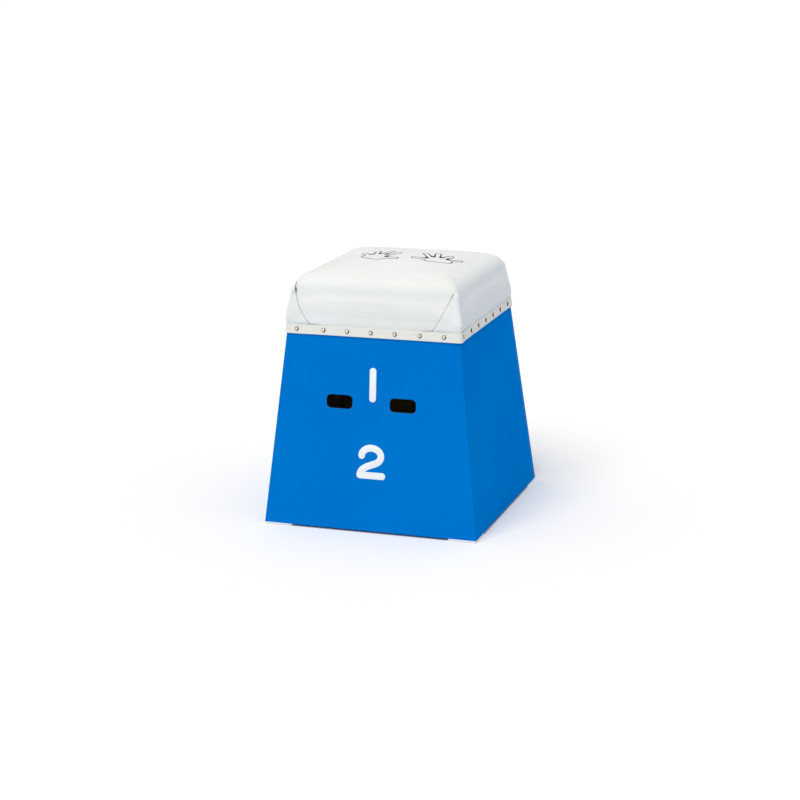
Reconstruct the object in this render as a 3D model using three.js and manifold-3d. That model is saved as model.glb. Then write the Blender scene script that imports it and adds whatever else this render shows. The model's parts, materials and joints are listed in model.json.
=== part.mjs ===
import * as THREE from "three";
import { mergeVertices } from "three/addons/utils/BufferGeometryUtils.js";
import Module from "manifold-3d";

// Vaulting box: a square pyramid of painted boards on four foot pads, with a padded canvas top.
// Millimetres, +Z up. The origin is on the floor under the middle, and the front faces -Y.

// Body of boards
const baseSide = 500; // over the panels at their lower edge
const deckSide = 396; // over the deck at its top
const bodyHeight = 467; // from the panels' lower edge to the deck's top
const boardThickness = 12;
const postSide = 40;
const railDepth = 22;
const railHeight = 40;
const jointGap = 0.3; // glue line, or air between pieces that touch
const overrun = 5; // how far a cut runs past the face that it opens

// Finger holes
const holeWidth = 60;
const holeHeight = 30;
const holeCorner = 10;
const holeSpacing = 148; // from centre to centre
const holeDrop = 181.5; // from the deck's top down to the holes' centres

// Foot pads
const footThickness = 5;
const footSide = 66;
const footCorner = 5;
const footEdge = 1; // bevel round both faces
const footRecess = 1.2; // how far a screw's head lies above the floor

// Countersunk screws
const screwLength = 32;
const screwShankRadius = 2;
const screwHeadRadius = 4.2;
const screwHeadHeight = 2.6;
const screwTip = 3;

// Canvas cover and foam
const canvasThickness = 1.2;
const padEdgeHeight = 93; // from the deck's top to where the rounded edge meets the crown
const padEdgeRadius = 32;
const padCornerRadius = 12; // upright corners, where the rounded edge begins
const padCornerEasing = 6; // height over the deck in which a corner loses its sharpness
const padCornerFoot = 3; // upright corners at the top of that height
const padBulge = 1;
const crownRise = 22;
const foamCornerRadius = 1; // the least at the foam's foot

// Corner folds, which lie on the front and the rear
const foldRuns = [53.5, 61]; // from the left and the right corner to the fold, at the tape
const foldRise = 2.4; // two more layers of canvas
const foldRamp = 5; // height over the tape in which the layers spread
const foldDrop = 14; // from the top of the rounded edge down to the fold's upper end
const foldLead = 2; // least way from a corner to its fold
const foldStep = 1; // width of the step at the fold
const foldCurve = 1.2; // power of the fold's curve

// Tape and tacks
const tapeWidth = 21;
const tapeThickness = 1.5;
const tapeDrop = 35.5; // from the deck's top down to the tape's lower edge
const tapeJoint = 1; // between the tape's two ends, at the rear
const hemLift = 1.5; // the canvas ends this far above the tape's lower edge
const tackHeadRadius = 4.5;
const tackHeadHeight = 3;
const tackLength = 12;
const tackShankRadius = 0.9;
const tackTip = 3;

// Places along a face, as shares of its half width at the tacks. They were set by hand, so they differ.
const frontTackShares = [-0.88, -0.564, -0.287, -0.012, 0.265, 0.552, 0.828];
const sideTackShares = [-0.914, -0.614, -0.34, -0.055, 0.233, 0.524, 0.837];

// Fineness of the rounded shapes
const cornerSteps = 4;
const edgeSteps = 3;
const holeSteps = 4;
const roundSides = 8;
const domeSteps = 3;
const crownShares = [0.75, 0.5, 0.27]; // rings of the crown, as shares of the edge's half width
const foldedTopShares = [-0.85, -0.75, -0.25, 0.25, 0.75, 0.85];
const plainShares = [-0.5, 0, 0.5];
const middleShares = [-0.25, 0.25];

// Levels and offsets that follow from the sizes
const quarterTurn = Math.PI / 2;
const lean = (baseSide - deckSide) / 2 / bodyHeight;
const leanAngle = Math.atan(lean);
const leanCos = Math.cos(leanAngle);
const deckTop = footThickness + bodyHeight;
const deckUnderside = deckTop - boardThickness;
const boardRun = boardThickness / leanCos; // a leaning board's thickness, measured level
const gapRun = jointGap / leanCos;
const postOut = boardRun + gapRun; // from the outer face in to a post
const postIn = postOut + postSide;
const canvasInner = jointGap; // offsets outwards from the boards' outer face
const canvasOuter = canvasInner + canvasThickness;
const tapeInner = canvasOuter + jointGap;
const tapeOuter = tapeInner + tapeThickness;
const tackSeat = tapeOuter + jointGap;
const tapeLow = deckTop - tapeDrop;
const tapeTop = tapeLow + tapeWidth * leanCos;
const tackLevel = (tapeLow + tapeTop) / 2;
const hemLevel = tapeLow + hemLift;

const paint = new THREE.MeshStandardMaterial({ color: 0x0070c6, roughness: 0.4, metalness: 0 });
const timber = new THREE.MeshStandardMaterial({ color: 0xc9a777, roughness: 0.8, metalness: 0 });
const canvas = new THREE.MeshStandardMaterial({ color: 0xe9eae6, roughness: 0.85, metalness: 0 });
const webbing = new THREE.MeshStandardMaterial({ color: 0xe2e0d6, roughness: 0.9, metalness: 0 });
const foam = new THREE.MeshStandardMaterial({ color: 0xd9d3b8, roughness: 0.95, metalness: 0 });
const rubber = new THREE.MeshStandardMaterial({ color: 0xe6e8ea, roughness: 0.6, metalness: 0 });
const brass = new THREE.MeshStandardMaterial({ color: 0xb8923f, roughness: 0.3, metalness: 1 });
const steel = new THREE.MeshStandardMaterial({ color: 0x9a9da0, roughness: 0.4, metalness: 1 });

const wasm = await Module();
wasm.setup();

function solidOf(geometry) {
  const bare = geometry.clone();
  bare.deleteAttribute("normal");
  bare.deleteAttribute("uv");
  const merged = mergeVertices(bare);
  const triVerts = new Uint32Array(merged.index.array);
  const vertProperties = merged.getAttribute("position").array;
  return new wasm.Manifold(new wasm.Mesh({ numProp: 3, vertProperties, triVerts }));
}

function cut(geometry, cutters) {
  let solid = solidOf(geometry);
  for (const cutter of cutters) {
    solid = solid.subtract(solidOf(cutter));
  }
  const mesh = solid.getMesh();
  const result = new THREE.BufferGeometry();
  result.setAttribute("position", new THREE.BufferAttribute(mesh.vertProperties, 3));
  result.setIndex(new THREE.BufferAttribute(mesh.triVerts, 1));
  result.computeVertexNormals();
  return result;
}

// Level distance from the middle of the box to the boards' outer face.
function faceAt(z) {
  return baseSide / 2 - lean * (z - footThickness);
}

// A block between two heights. Each of its four sides is a function of the height.
function leaningBlock(bottom, top, { left, right, near, far }) {
  const geometry = new THREE.BoxGeometry(1, 1, 1);
  const place = geometry.getAttribute("position");
  for (let i = 0; i < place.count; i += 1) {
    const z = place.getZ(i) > 0 ? top : bottom;
    const x = place.getX(i) > 0 ? right(z) : left(z);
    const y = place.getY(i) > 0 ? far(z) : near(z);
    place.setXYZ(i, x, y, z);
  }
  geometry.computeVertexNormals();
  return geometry;
}

// Puts a shape that faces -Y onto the leaning front, its origin on the boards' outer face.
function onFront(geometry, x, z) {
  geometry.rotateX(-leanAngle);
  geometry.translate(x, -faceAt(z), z);
  return geometry;
}

function roundedOutline(width, height, radius) {
  const x = width / 2 - radius;
  const y = height / 2 - radius;
  const outline = new THREE.Shape();
  outline.absarc(x, -y, radius, -quarterTurn, 0);
  outline.absarc(x, y, radius, 0, quarterTurn);
  outline.absarc(-x, y, radius, quarterTurn, 2 * quarterTurn);
  outline.absarc(-x, -y, radius, 2 * quarterTurn, 3 * quarterTurn);
  outline.closePath();
  return outline;
}

function fingerHole(x) {
  const outline = roundedOutline(holeWidth, holeHeight, holeCorner);
  const depth = boardThickness + 2 * overrun;
  const geometry = new THREE.ExtrudeGeometry(outline, { depth, bevelEnabled: false, curveSegments: holeSteps });
  geometry.translate(0, 0, overrun - depth);
  geometry.rotateX(quarterTurn);
  return onFront(geometry, x, deckTop - holeDrop);
}

function tackPlaces(shares) {
  return shares.map((share) => share * faceAt(tackLevel));
}

function tackHole(x) {
  const side = 2 * (tackShankRadius + jointGap);
  const outside = tackSeat + overrun;
  const inside = tackLength - tackSeat + jointGap;
  const geometry = new THREE.BoxGeometry(side, outside + inside, side);
  geometry.translate(0, (inside - outside) / 2, 0);
  return onFront(geometry, x, tackLevel);
}

// A domed nail that faces -Y, with the underside of its head at the origin.
function tackShape() {
  const profile = [];
  for (let step = 0; step <= domeSteps; step += 1) {
    const angle = (step / domeSteps) * quarterTurn;
    const height = -tackHeadHeight * Math.cos(angle);
    profile.push(new THREE.Vector2(tackHeadRadius * Math.sin(angle), height));
  }
  profile.push(new THREE.Vector2(tackShankRadius, 0));
  profile.push(new THREE.Vector2(tackShankRadius, tackLength - tackTip));
  profile.push(new THREE.Vector2(0, tackLength));
  return new THREE.LatheGeometry(profile, roundSides);
}

// A countersunk screw that points down, with the top of its head at the origin.
function screwShape() {
  const profile = [
    new THREE.Vector2(0, -screwLength),
    new THREE.Vector2(screwShankRadius, screwTip - screwLength),
    new THREE.Vector2(screwShankRadius, -screwHeadHeight),
    new THREE.Vector2(screwHeadRadius, 0),
    new THREE.Vector2(0, 0),
  ];
  return new THREE.LatheGeometry(profile, roundSides).rotateX(quarterTurn);
}

// The room that a screw takes, open above its head.
function screwHole() {
  const shank = screwShankRadius + jointGap;
  const head = screwHeadRadius + jointGap;
  const profile = [
    new THREE.Vector2(0, -screwLength - jointGap),
    new THREE.Vector2(shank, -screwLength - jointGap),
    new THREE.Vector2(shank, -screwHeadHeight),
    new THREE.Vector2(head, 0),
    new THREE.Vector2(head, overrun),
    new THREE.Vector2(0, overrun),
  ];
  return new THREE.LatheGeometry(profile, roundSides).rotateX(quarterTurn);
}

// Middle of a post, in from the boards' outer face at a height.
function postMiddle(z) {
  return faceAt(z) - (postOut + postIn) / 2;
}

function atDeckScrew(geometry) {
  const middle = postMiddle(deckTop);
  return geometry.translate(-middle, -middle, deckTop - jointGap);
}

function atFootScrew(geometry) {
  const middle = postMiddle(footThickness);
  return geometry.rotateX(Math.PI).translate(-middle, -middle, footRecess);
}

// The front and rear panels run over the edges of the side panels.
function endPanel(shares) {
  const board = leaningBlock(footThickness, deckUnderside, {
    left: (z) => -faceAt(z),
    right: (z) => faceAt(z),
    near: (z) => -faceAt(z),
    far: (z) => boardRun - faceAt(z),
  });
  const holes = [-1, 1].map((side) => fingerHole((side * holeSpacing) / 2));
  return cut(board, [...holes, ...tackPlaces(shares).map(tackHole)]);
}

function sidePanel(shares) {
  const board = leaningBlock(footThickness, deckUnderside, {
    left: (z) => postOut - faceAt(z),
    right: (z) => faceAt(z) - postOut,
    near: (z) => -faceAt(z),
    far: (z) => boardRun - faceAt(z),
  });
  return cut(board, tackPlaces(shares).map(tackHole));
}

function cornerPost() {
  const post = leaningBlock(footThickness, deckUnderside, {
    left: (z) => postOut - faceAt(z),
    right: (z) => postIn - faceAt(z),
    near: (z) => postOut - faceAt(z),
    far: (z) => postIn - faceAt(z),
  });
  return cut(post, [atDeckScrew(screwHole()), atFootScrew(screwHole())]);
}

function topRail() {
  return leaningBlock(deckUnderside - railHeight, deckUnderside, {
    left: (z) => postIn + gapRun - faceAt(z),
    right: (z) => faceAt(z) - postIn - gapRun,
    near: (z) => postOut - faceAt(z),
    far: (z) => postOut + railDepth - faceAt(z),
  });
}

function footPad() {
  const outline = roundedOutline(footSide - 2 * footEdge, footSide - 2 * footEdge, footCorner);
  const pad = new THREE.ExtrudeGeometry(outline, {
    depth: footThickness - 2 * footEdge,
    bevelThickness: footEdge,
    bevelSize: footEdge,
    bevelSegments: 1,
    curveSegments: holeSteps,
  });
  const middle = (baseSide - footSide) / 2;
  pad.translate(-middle, -middle, footEdge);
  return cut(pad, [atFootScrew(screwHole())]);
}

function deckBoard() {
  const board = leaningBlock(deckUnderside, deckTop, {
    left: (z) => -faceAt(z),
    right: (z) => faceAt(z),
    near: (z) => -faceAt(z),
    far: (z) => faceAt(z),
  });
  const turns = [0, 1, 2, 3];
  return cut(board, turns.map((turn) => atDeckScrew(screwHole()).rotateZ(turn * quarterTurn)));
}

// The pad's rounded edge turns about a point this far from the middle, at this height.
const crownTop = deckTop + padEdgeHeight + crownRise;
const edgeLevel = deckTop + padEdgeHeight;
const crownSlope = Math.atan((2 * crownRise) / (faceAt(edgeLevel) - padEdgeRadius));
const edgeCentreLevel = edgeLevel - padEdgeRadius * Math.cos(crownSlope);
const edgeStart = edgeCentreLevel + padEdgeRadius * Math.sin(leanAngle);
const edgeCentreRun = faceAt(edgeStart) + canvasOuter / leanCos - padEdgeRadius * leanCos;
const foldTop = edgeLevel - foldDrop;

// Share of the way up from the tape to a fold's upper end.
function foldShare(z) {
  return THREE.MathUtils.clamp((z - tapeTop) / (foldTop - tapeTop), 0, 1);
}

// Where a face's level line has its points, and whether each is on the raised side of a fold.
function foldedStations(flat, radius, z) {
  const open = (1 - foldShare(z)) ** foldCurve;
  const [left, right] = foldRuns.map((run) => foldLead + (run - radius - foldLead) * open);
  return [
    { x: left - flat, raised: 1 },
    { x: left - flat + foldStep, raised: 0 },
    ...middleShares.map((share) => ({ x: share * flat, raised: 0 })),
    { x: flat - right - foldStep, raised: 0 },
    { x: flat - right, raised: 1 },
  ];
}

// One level line of the pad, counterclockwise from above: a square with rounded corners. The folds lie
// on the front and the rear, so their rise fades round each corner. Over the crown they are spread out.
function padRing({ half, radius, z, rise, crowned }) {
  const flat = half - radius;
  const points = [];
  for (let turn = 0; turn < 4; turn += 1) {
    const folded = turn % 2 === 0;
    const line = [];
    for (let step = 0; step <= cornerSteps; step += 1) {
      const share = step / cornerSteps;
      const angle = (2 + share) * quarterTurn;
      const x = radius * Math.cos(angle) - flat - (folded ? 0 : rise * (1 - share));
      const y = radius * Math.sin(angle) - flat - (folded ? rise * share : 0);
      line.push(new THREE.Vector3(x, y, z));
    }
    let stations = plainShares.map((share) => ({ x: share * flat, raised: 0 }));
    if (folded && crowned) {
      stations = foldedTopShares.map((share) => ({ x: share * flat, raised: 0 }));
    } else if (folded) {
      stations = foldedStations(flat, radius, z);
    }
    for (const { x, raised } of stations) {
      line.push(new THREE.Vector3(x, -half - raised * rise, z));
    }
    const up = new THREE.Vector3(0, 0, 1);
    points.push(...line.map((point) => point.applyAxisAngle(up, turn * quarterTurn)));
  }
  return points;
}

function bulgeAt(z) {
  const share = THREE.MathUtils.clamp((z - deckTop) / (edgeStart - deckTop), 0, 1);
  return padBulge * Math.sin(share * Math.PI);
}

// Radius of the cover's upright corners. Along the boards it follows their sharp edge.
function cornerAt(z) {
  if (z <= deckTop) {
    return canvasOuter;
  }
  const foot = deckTop + padCornerEasing;
  if (z <= foot) {
    return THREE.MathUtils.mapLinear(z, deckTop, foot, canvasOuter, padCornerFoot);
  }
  return THREE.MathUtils.mapLinear(z, foot, edgeStart, padCornerFoot, padCornerRadius);
}

function riseAt(z) {
  const spread = THREE.MathUtils.clamp((z - tapeTop) / foldRamp, 0, 1);
  return foldRise * spread * (1 - foldShare(z) ** 2);
}

// Level lines up a side, over the rounded edge and up the crown, at a depth below the cover's face.
function padRings(levels, depth, { folds, leastRadius }) {
  const inner = (radius) => Math.max(radius - depth, leastRadius);
  const rings = levels.map((z) => ({
    half: faceAt(z) + (canvasOuter - depth) / leanCos + bulgeAt(z),
    radius: inner(cornerAt(z)),
    z,
    rise: folds ? riseAt(z) : 0,
  }));
  const reach = padEdgeRadius - depth;
  for (let step = 1; step <= edgeSteps; step += 1) {
    const angle = THREE.MathUtils.lerp(leanAngle, quarterTurn - crownSlope, step / edgeSteps);
    const half = edgeCentreRun + reach * Math.cos(angle);
    const z = edgeCentreLevel + reach * Math.sin(angle);
    const drawn = (padEdgeRadius * (leanCos - Math.cos(angle))) / 2;
    rings.push({ half, radius: inner(padCornerRadius) + drawn, z, rise: folds ? riseAt(z) : 0 });
  }
  const edge = rings[rings.length - 1];
  for (const share of crownShares) {
    const half = edge.half * share;
    const radius = THREE.MathUtils.lerp(half, edge.radius, share);
    rings.push({ half, radius, z: crownTop - depth - crownRise * share ** 2, rise: 0, crowned: true });
  }
  return [...rings.map(padRing), [new THREE.Vector3(0, 0, crownTop - depth)]];
}

// A closed skin over level lines. It ends on a single point, or closes on itself.
function skinOver(rings, closesOnItself = false) {
  const corners = [];
  const last = closesOnItself ? rings.length : rings.length - 1;
  for (let k = 0; k < last; k += 1) {
    const lower = rings[k];
    const upper = rings[(k + 1) % rings.length];
    const count = Math.max(lower.length, upper.length);
    for (let j = 0; j < count; j += 1) {
      const next = (j + 1) % count;
      if (lower.length > 1) {
        corners.push(lower[j], lower[next], upper[upper.length > 1 ? next : 0]);
      }
      if (upper.length > 1) {
        corners.push(lower[lower.length > 1 ? j : 0], upper[next], upper[j]);
      }
    }
  }
  const geometry = new THREE.BufferGeometry().setFromPoints(corners);
  geometry.computeVertexNormals();
  return geometry;
}

function allTackHoles() {
  const tables = [frontTackShares, sideTackShares, frontTackShares, sideTackShares];
  return tables.flatMap((shares, turn) =>
    tackPlaces(shares).map((x) => tackHole(x).rotateZ(turn * quarterTurn)),
  );
}

function canvasCover() {
  const waist = (deckTop + edgeStart) / 2;
  const outside = [hemLevel, tapeTop, tapeTop + foldRamp, deckTop + padCornerEasing, waist, edgeStart];
  const inside = [hemLevel, deckTop, deckTop + padCornerEasing, waist, edgeStart];
  const outer = padRings(outside, 0, { folds: true, leastRadius: 0 });
  const inner = padRings(inside, canvasThickness, { folds: false, leastRadius: 0 });
  return cut(skinOver([...inner.reverse(), ...outer]), allTackHoles());
}

function foamPad() {
  const waist = (deckTop + edgeStart) / 2;
  const levels = [deckTop + jointGap, deckTop + padCornerEasing, waist, edgeStart];
  const depth = canvasThickness + jointGap;
  const rings = padRings(levels, depth, { folds: false, leastRadius: foamCornerRadius });
  return skinOver([[new THREE.Vector3(0, 0, deckTop + jointGap)], ...rings]);
}

// One length of tape goes round the box and meets itself at the rear.
function edgeTape() {
  const line = (z, offset) =>
    padRing({ half: faceAt(z) + offset / leanCos, radius: offset, z, rise: 0, crowned: true });
  const rings = [
    line(tapeLow, tapeOuter),
    line(tapeTop, tapeOuter),
    line(tapeTop, tapeInner),
    line(tapeLow, tapeInner),
  ];
  const joint = new THREE.BoxGeometry(tapeJoint, 2 * overrun + boardThickness, tapeWidth + 2 * overrun);
  joint.translate(0, faceAt(tackLevel), tackLevel);
  return cut(skinOver(rings, true), [joint, ...allTackHoles()]);
}

function piece(name, geometry, material) {
  const mesh = new THREE.Mesh(geometry, material);
  mesh.name = name;
  return mesh;
}

function tack(name, x) {
  const mesh = piece(name, tackShape(), brass);
  mesh.position.y = -tackSeat;
  const seat = new THREE.Group();
  seat.position.set(x, -faceAt(tackLevel), tackLevel);
  seat.rotation.x = -leanAngle;
  seat.add(mesh);
  return seat;
}

// Each face brings its panel, its rail and its tacks, and the corner at its left end.
const faces = [
  { face: "front", corner: "front_left", panel: endPanel, shares: frontTackShares },
  { face: "right", corner: "front_right", panel: sidePanel, shares: sideTackShares },
  { face: "rear", corner: "rear_right", panel: endPanel, shares: frontTackShares },
  { face: "left", corner: "rear_left", panel: sidePanel, shares: sideTackShares },
];

const box = new THREE.Group();
faces.forEach(({ face, corner, panel, shares }, turn) => {
  const side = new THREE.Group();
  side.rotation.z = turn * quarterTurn;
  side.add(piece(`${face}_panel`, panel(shares), paint));
  side.add(piece(`${face}_top_rail`, topRail(), timber));
  side.add(piece(`${corner}_post`, cornerPost(), timber));
  side.add(piece(`${corner}_foot`, footPad(), rubber));
  side.add(piece(`${corner}_foot_screw`, atFootScrew(screwShape()), steel));
  side.add(piece(`${corner}_deck_screw`, atDeckScrew(screwShape()), steel));
  tackPlaces(shares).forEach((x, i) => side.add(tack(`${face}_tack_${i + 1}`, x)));
  box.add(side);
});
box.add(piece("deck_board", deckBoard(), timber));
box.add(piece("foam_pad", foamPad(), foam));
box.add(piece("canvas_cover", canvasCover(), canvas));
box.add(piece("edge_tape", edgeTape(), webbing));

export default box;
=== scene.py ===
import json
import math
import random

import bmesh
import bpy
from mathutils import Matrix, Vector, kdtree, noise

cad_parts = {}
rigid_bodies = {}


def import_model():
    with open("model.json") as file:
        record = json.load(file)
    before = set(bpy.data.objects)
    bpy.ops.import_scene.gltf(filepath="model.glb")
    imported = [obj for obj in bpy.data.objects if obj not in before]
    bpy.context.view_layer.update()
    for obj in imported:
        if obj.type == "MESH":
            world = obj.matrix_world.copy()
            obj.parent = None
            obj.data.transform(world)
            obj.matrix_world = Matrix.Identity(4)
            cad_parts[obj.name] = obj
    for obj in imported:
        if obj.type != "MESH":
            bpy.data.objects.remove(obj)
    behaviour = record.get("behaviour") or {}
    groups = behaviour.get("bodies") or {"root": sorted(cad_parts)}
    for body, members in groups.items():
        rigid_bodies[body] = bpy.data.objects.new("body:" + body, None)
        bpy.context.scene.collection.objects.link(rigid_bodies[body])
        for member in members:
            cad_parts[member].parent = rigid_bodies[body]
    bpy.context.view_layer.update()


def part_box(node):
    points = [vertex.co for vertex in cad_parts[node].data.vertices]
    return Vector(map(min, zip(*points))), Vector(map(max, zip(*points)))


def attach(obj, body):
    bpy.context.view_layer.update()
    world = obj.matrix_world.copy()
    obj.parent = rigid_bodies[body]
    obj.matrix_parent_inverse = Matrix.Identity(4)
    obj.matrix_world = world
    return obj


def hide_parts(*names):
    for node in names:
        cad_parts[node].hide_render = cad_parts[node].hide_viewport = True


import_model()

mm = 0.001
weld = 0.005 * mm  # points closer than this are one
quarter = math.pi / 2
tacksPerFace = 7
faceNames = ["front", "right", "rear", "left"]  # each a quarter turn on from the last, seen from above
cornerNames = ["front_left", "front_right", "rear_right", "rear_left"]  # at the left end of each face

# Levels and slopes that the pieces share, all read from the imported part
panelLow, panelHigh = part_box("front_panel")
deckLow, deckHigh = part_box("deck_board")
tapeLow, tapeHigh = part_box("edge_tape")
coverLow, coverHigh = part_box("canvas_cover")
deckTop = deckHigh.z
lean = (panelHigh.x - deckHigh.x) / (deckLow.z - panelLow.z)
leanAngle = math.atan(lean)
leanCos = math.cos(leanAngle)
leanSin = math.sin(leanAngle)


# Level distance from the middle of the box to the boards' outer face
def faceAt(z):
    return panelHigh.x - lean * (z - panelLow.z)


def limit(value, low=0, high=1):
    return min(max(value, low), high)


def smooth(share):
    share = limit(share)
    return share * share * (3 - 2 * share)


def mix(a, b, share):
    return a + (b - a) * share


def bell(distance, width):
    return math.exp(-((distance / width) ** 2))


# Turns a place or a direction on the front to the same one on another face
def turned(place, turn):
    return Matrix.Rotation(turn * quarter, 3, "Z") @ Vector(place)


# A place on the leaning front: across, at a height, and outwards from the boards
def onFront(x, z, out=0):
    return Vector((x, -faceAt(z) - out * leanCos, z + out * leanSin))


def quarterTurn(turn):
    return Matrix.Rotation(turn * quarter, 4, "Z")


# Lays a flat drawing, made in X and Y, on one of the faces
def faceMatrix(x, z, out, turn):
    place = Matrix.Translation(onFront(x, z, out)) @ Matrix.Rotation(quarter - leanAngle, 4, "X")
    return quarterTurn(turn) @ place


def takeUp(piece):
    if bpy.context.object and bpy.context.object.mode != "OBJECT":
        bpy.ops.object.mode_set(mode="OBJECT")
    bpy.ops.object.select_all(action="DESELECT")
    piece.select_set(True)
    bpy.context.view_layer.objects.active = piece


def startEdit(piece):
    takeUp(piece)
    bpy.ops.object.mode_set(mode="EDIT")
    bpy.ops.mesh.select_mode(type="FACE")
    bpy.ops.mesh.select_all(action="SELECT")


def endEdit():
    bpy.ops.object.mode_set(mode="OBJECT")


# In edit mode, selects the edges or faces that pass a test of their middle and themselves
def choose(kind, test):
    bpy.ops.mesh.select_mode(type=kind)
    bpy.ops.mesh.select_all(action="DESELECT")
    form = bmesh.from_edit_mesh(bpy.context.object.data)
    for part in {"EDGE": form.edges, "FACE": form.faces}[kind]:
        corners = [corner.co for corner in part.verts]
        if test(sum(corners, Vector()) / len(corners), part):
            part.select_set(True)
    form.select_flush_mode()
    bmesh.update_edit_mesh(bpy.context.object.data)


# Rounds the edges of the piece in edit mode that pass a test
def ease(width, test, segments=3):
    choose("EDGE", test)
    bpy.ops.mesh.bevel(offset=width, segments=segments, profile=0.5, affect="EDGES", clamp_overlap=True)


# Whether an edge of a closed piece turns by more than an angle in radians
def isSharp(edge, angle=1):
    return len(edge.link_faces) == 2 and edge.calc_face_angle(0) > angle


# How far an edge runs along an axis
def reachAlong(edge, axis):
    return abs(edge.verts[0].co[axis] - edge.verts[1].co[axis])


def faceOutwards():
    bpy.ops.mesh.select_all(action="SELECT")
    bpy.ops.mesh.normals_make_consistent(inside=False)


def finishWith(piece, kind, **settings):
    takeUp(piece)
    modifier = piece.modifiers.new(kind.lower(), kind)
    for name, value in settings.items():
        setattr(modifier, name, value)
    bpy.ops.object.modifier_apply(modifier=modifier.name)


# Cuts a piece by another, or joins them, and removes the other
def combine(piece, other, operation):
    finishWith(piece, "BOOLEAN", operation=operation, object=other, solver="EXACT")
    bpy.data.objects.remove(other)


def applyPlace(piece):
    takeUp(piece)
    bpy.ops.object.transform_apply(location=True, rotation=True, scale=True)
    return piece


def addBlock(size, place, turn=(0, 0, 0)):
    bpy.ops.mesh.primitive_cube_add(size=1, location=place, rotation=turn)
    block = bpy.context.object
    block.scale = size
    return applyPlace(block)


# Puts the piece's place into its mesh, and shades edges smooth up to an angle in degrees
def settle(piece, angle=40):
    applyPlace(piece)
    bpy.ops.object.shade_smooth_by_angle(angle=math.radians(angle))
    return piece


def named(piece, name):
    piece.name = name
    piece.data.name = name
    return piece


def copyPlaced(piece, name, place):
    copy = piece.copy()
    copy.data = piece.data.copy()
    copy.data.transform(place)
    bpy.context.scene.collection.objects.link(copy)
    return named(copy, name)


# Gives a piece its finishes, and its place in the part
def fit(piece, materials, node=""):
    for material in materials:
        piece.data.materials.append(material)
    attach(piece, "root")
    if node:
        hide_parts(node)


# Camera, at the photograph's view
view = {
    "azimuth": 18.96,  # degrees
    "elevation": 15.06,
    "roll": -0.85,
    "distance": 4.493,
    "target": Vector((0, 0, 0.2208)),
    "lens": 87.19,
    "shiftAcross": -0.00395,
    "shiftUp": 0.01195,
}


def makeCamera():
    azimuth, elevation, roll = (math.radians(view[key]) for key in ("azimuth", "elevation", "roll"))
    level = math.cos(elevation)
    back = Vector((math.sin(azimuth) * level, -math.cos(azimuth) * level, math.sin(elevation)))
    right = Vector((math.cos(azimuth), math.sin(azimuth), 0))
    across = right * math.cos(roll) + back.cross(right) * math.sin(roll)
    bpy.ops.object.camera_add()
    camera = bpy.context.object
    turn = Matrix((across, back.cross(across), back)).transposed()
    camera.matrix_world = Matrix.Translation(view["target"] + back * view["distance"]) @ turn.to_4x4()
    camera.data.lens = view["lens"]
    camera.data.shift_x = view["shiftAcross"]
    camera.data.shift_y = view["shiftUp"]
    bpy.context.scene.camera = camera


makeCamera()
bpy.context.scene.view_settings.view_transform = "Standard"


# Adds a node. An input is a value, or another node's output to join to it.
def addNode(tree, kind, inputs=None, **settings):
    node = tree.nodes.new(kind)
    for name, value in settings.items():
        setattr(node, name, value)
    for name, value in (inputs or {}).items():
        if isinstance(value, bpy.types.NodeSocket):
            tree.links.new(value, node.inputs[name])
        else:
            node.inputs[name].default_value = value
    return node


# Mixes two colours. The node's inputs go by number, because numbers and colours share their names.
def blendColours(tree, share, first, second):
    inputs = {0: share, 6: first, 7: second}
    return addNode(tree, "ShaderNodeMix", inputs, data_type="RGBA").outputs[2]


# A material's nodes in few words: each method returns an output to use in the next
class Finish:
    def __init__(self, name, **shader):
        self.material = bpy.data.materials.new(name)
        self.material.use_nodes = True
        self.tree = self.material.node_tree
        self.shader = self.tree.nodes["Principled BSDF"]
        for key, value in shader.items():
            self.shader.inputs[key.replace("_", " ")].default_value = value

    def place(self, kind="Object", scale=(1, 1, 1)):
        source = addNode(self.tree, "ShaderNodeTexCoord").outputs[kind]
        return addNode(self.tree, "ShaderNodeMapping", {"Vector": source, "Scale": scale}).outputs["Vector"]

    def noise(self, place, scale, detail=3, roughness=0.5):
        inputs = {"Vector": place, "Scale": scale, "Detail": detail, "Roughness": roughness}
        return addNode(self.tree, "ShaderNodeTexNoise", inputs).outputs["Fac"]

    # Noise of one scale, brought from a part of its range to other levels
    def mottle(self, place, look, detail=3, roughness=0.5):
        scale, *levels = look
        return self.ramp(self.noise(place, scale, detail, roughness), *levels)

    def cells(self, place, scale):
        inputs = {"Vector": place, "Scale": scale}
        return addNode(self.tree, "ShaderNodeTexVoronoi", inputs).outputs["Distance"]

    def ramp(self, value, low, high, start=0, end=1):
        inputs = {"Value": value, "From Min": low, "From Max": high, "To Min": start, "To Max": end}
        return addNode(self.tree, "ShaderNodeMapRange", inputs).outputs["Result"]

    def maths(self, operation, *values):
        inputs = dict(enumerate(values))
        return addNode(self.tree, "ShaderNodeMath", inputs, operation=operation).outputs["Value"]

    def split(self, place):
        return addNode(self.tree, "ShaderNodeSeparateXYZ", {"Vector": place}).outputs

    def blend(self, share, first, second):
        return blendColours(self.tree, share, first, second)

    def bump(self, height, distance, strength=0.5, under=None):
        inputs = {"Height": height, "Distance": distance, "Strength": strength}
        if under is not None:
            inputs["Normal"] = under
        return addNode(self.tree, "ShaderNodeBump", inputs).outputs["Normal"]

    def use(self, **outputs):
        for key, output in outputs.items():
            self.tree.links.new(output, self.shader.inputs[key.replace("_", " ")])
        return self.material


# A screen's colour, each level up to 255, as the linear colour that shaders take
def colour(*levels):
    shares = [level / 255 for level in levels]
    linear = [share / 12.92 if share < 0.04045 else ((share + 0.055) / 1.055) ** 2.4 for share in shares]
    return linear + [1]


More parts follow.
